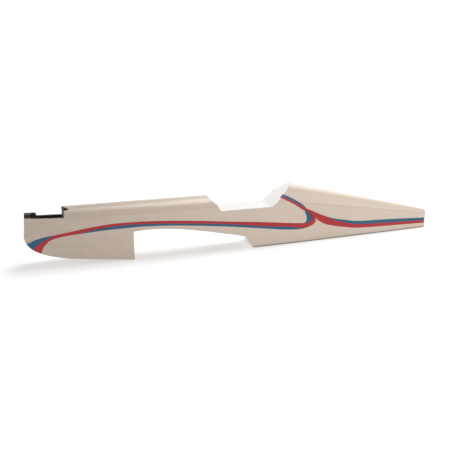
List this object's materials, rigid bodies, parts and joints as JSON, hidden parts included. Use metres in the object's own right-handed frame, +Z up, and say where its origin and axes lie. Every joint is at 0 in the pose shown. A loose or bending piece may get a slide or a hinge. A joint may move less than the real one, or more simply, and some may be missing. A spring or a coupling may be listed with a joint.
{
  "type": "rc racer fuselage",
  "caption": "Bare film-covered balsa fuselage of a low-wing radio-controlled racer, with open engine bay, wing saddle, flat cockpit floor and arched turtledeck.",
  "frame": {"origin": "on the surface it rests on, at the middle of the length and width", "axes": "+X aft, from the nose ring to the tail post; +Y starboard; +Z up"},
  "size_m": [1.14, 0.076, 0.165],
  "materials": {
    "covering_cream": "glossy heat-shrink film, cream",
    "covering_white": "glossy heat-shrink film, white",
    "trim_red": "glossy trim film, red",
    "trim_blue": "glossy trim film, blue",
    "fuelproofed_ply": "plywood under dark fuel-proofer",
    "birch_ply": "bare birch plywood",
    "balsa": "bare balsa",
    "spruce": "bare spruce strip",
    "beech": "bare beech",
    "zinc_steel": "zinc-plated",
    "nylon": "translucent nylon"
  },
  "bodies": {
    "root": {"nose_ring": "fuelproofed_ply", "firewall": "fuelproofed_ply", "engine_mount_blind_nuts": "zinc_steel", "cowl_blocks": "beech", "bay_doubler_port": "fuelproofed_ply", "bay_doubler_starboard": "fuelproofed_ply", "side_front_port": "covering_cream", "side_front_starboard": "covering_cream", "side_centre_port": "covering_cream", "side_centre_starboard": "covering_cream", "side_rear_port": "covering_cream", "side_rear_starboard": "covering_cream", "chin_sheet": "covering_cream", "belly_sheet": "covering_cream", "deck_sheet": "covering_cream", "deck_former": "birch_ply", "tank_floor": "birch_ply", "le_bulkhead": "birch_ply", "mid_former": "birch_ply", "dash_panel": "covering_white", "front_longeron_port": "spruce", "front_longeron_starboard": "spruce", "saddle_doubler_port": "birch_ply", "saddle_doubler_starboard": "birch_ply", "wing_bolt_plate": "birch_ply", "wing_blind_nuts": "zinc_steel", "saddle_rear_bulkhead": "covering_white", "servo_rails": "spruce", "servo_tray": "birch_ply", "cockpit_floor": "covering_white", "seat_former": "birch_ply", "seat_back": "covering_white", "turtledeck_sheet": "covering_cream", "turtledeck_spine": "spruce", "rear_former_1": "birch_ply", "rear_former_2": "birch_ply", "rear_former_3": "birch_ply", "rear_former_4": "birch_ply", "rear_longeron_port": "spruce", "rear_longeron_starboard": "spruce", "tail_post": "balsa", "elevator_tube": "nylon", "rudder_tube": "nylon", "throttle_tube": "nylon"}
  },
  "joints": []
}
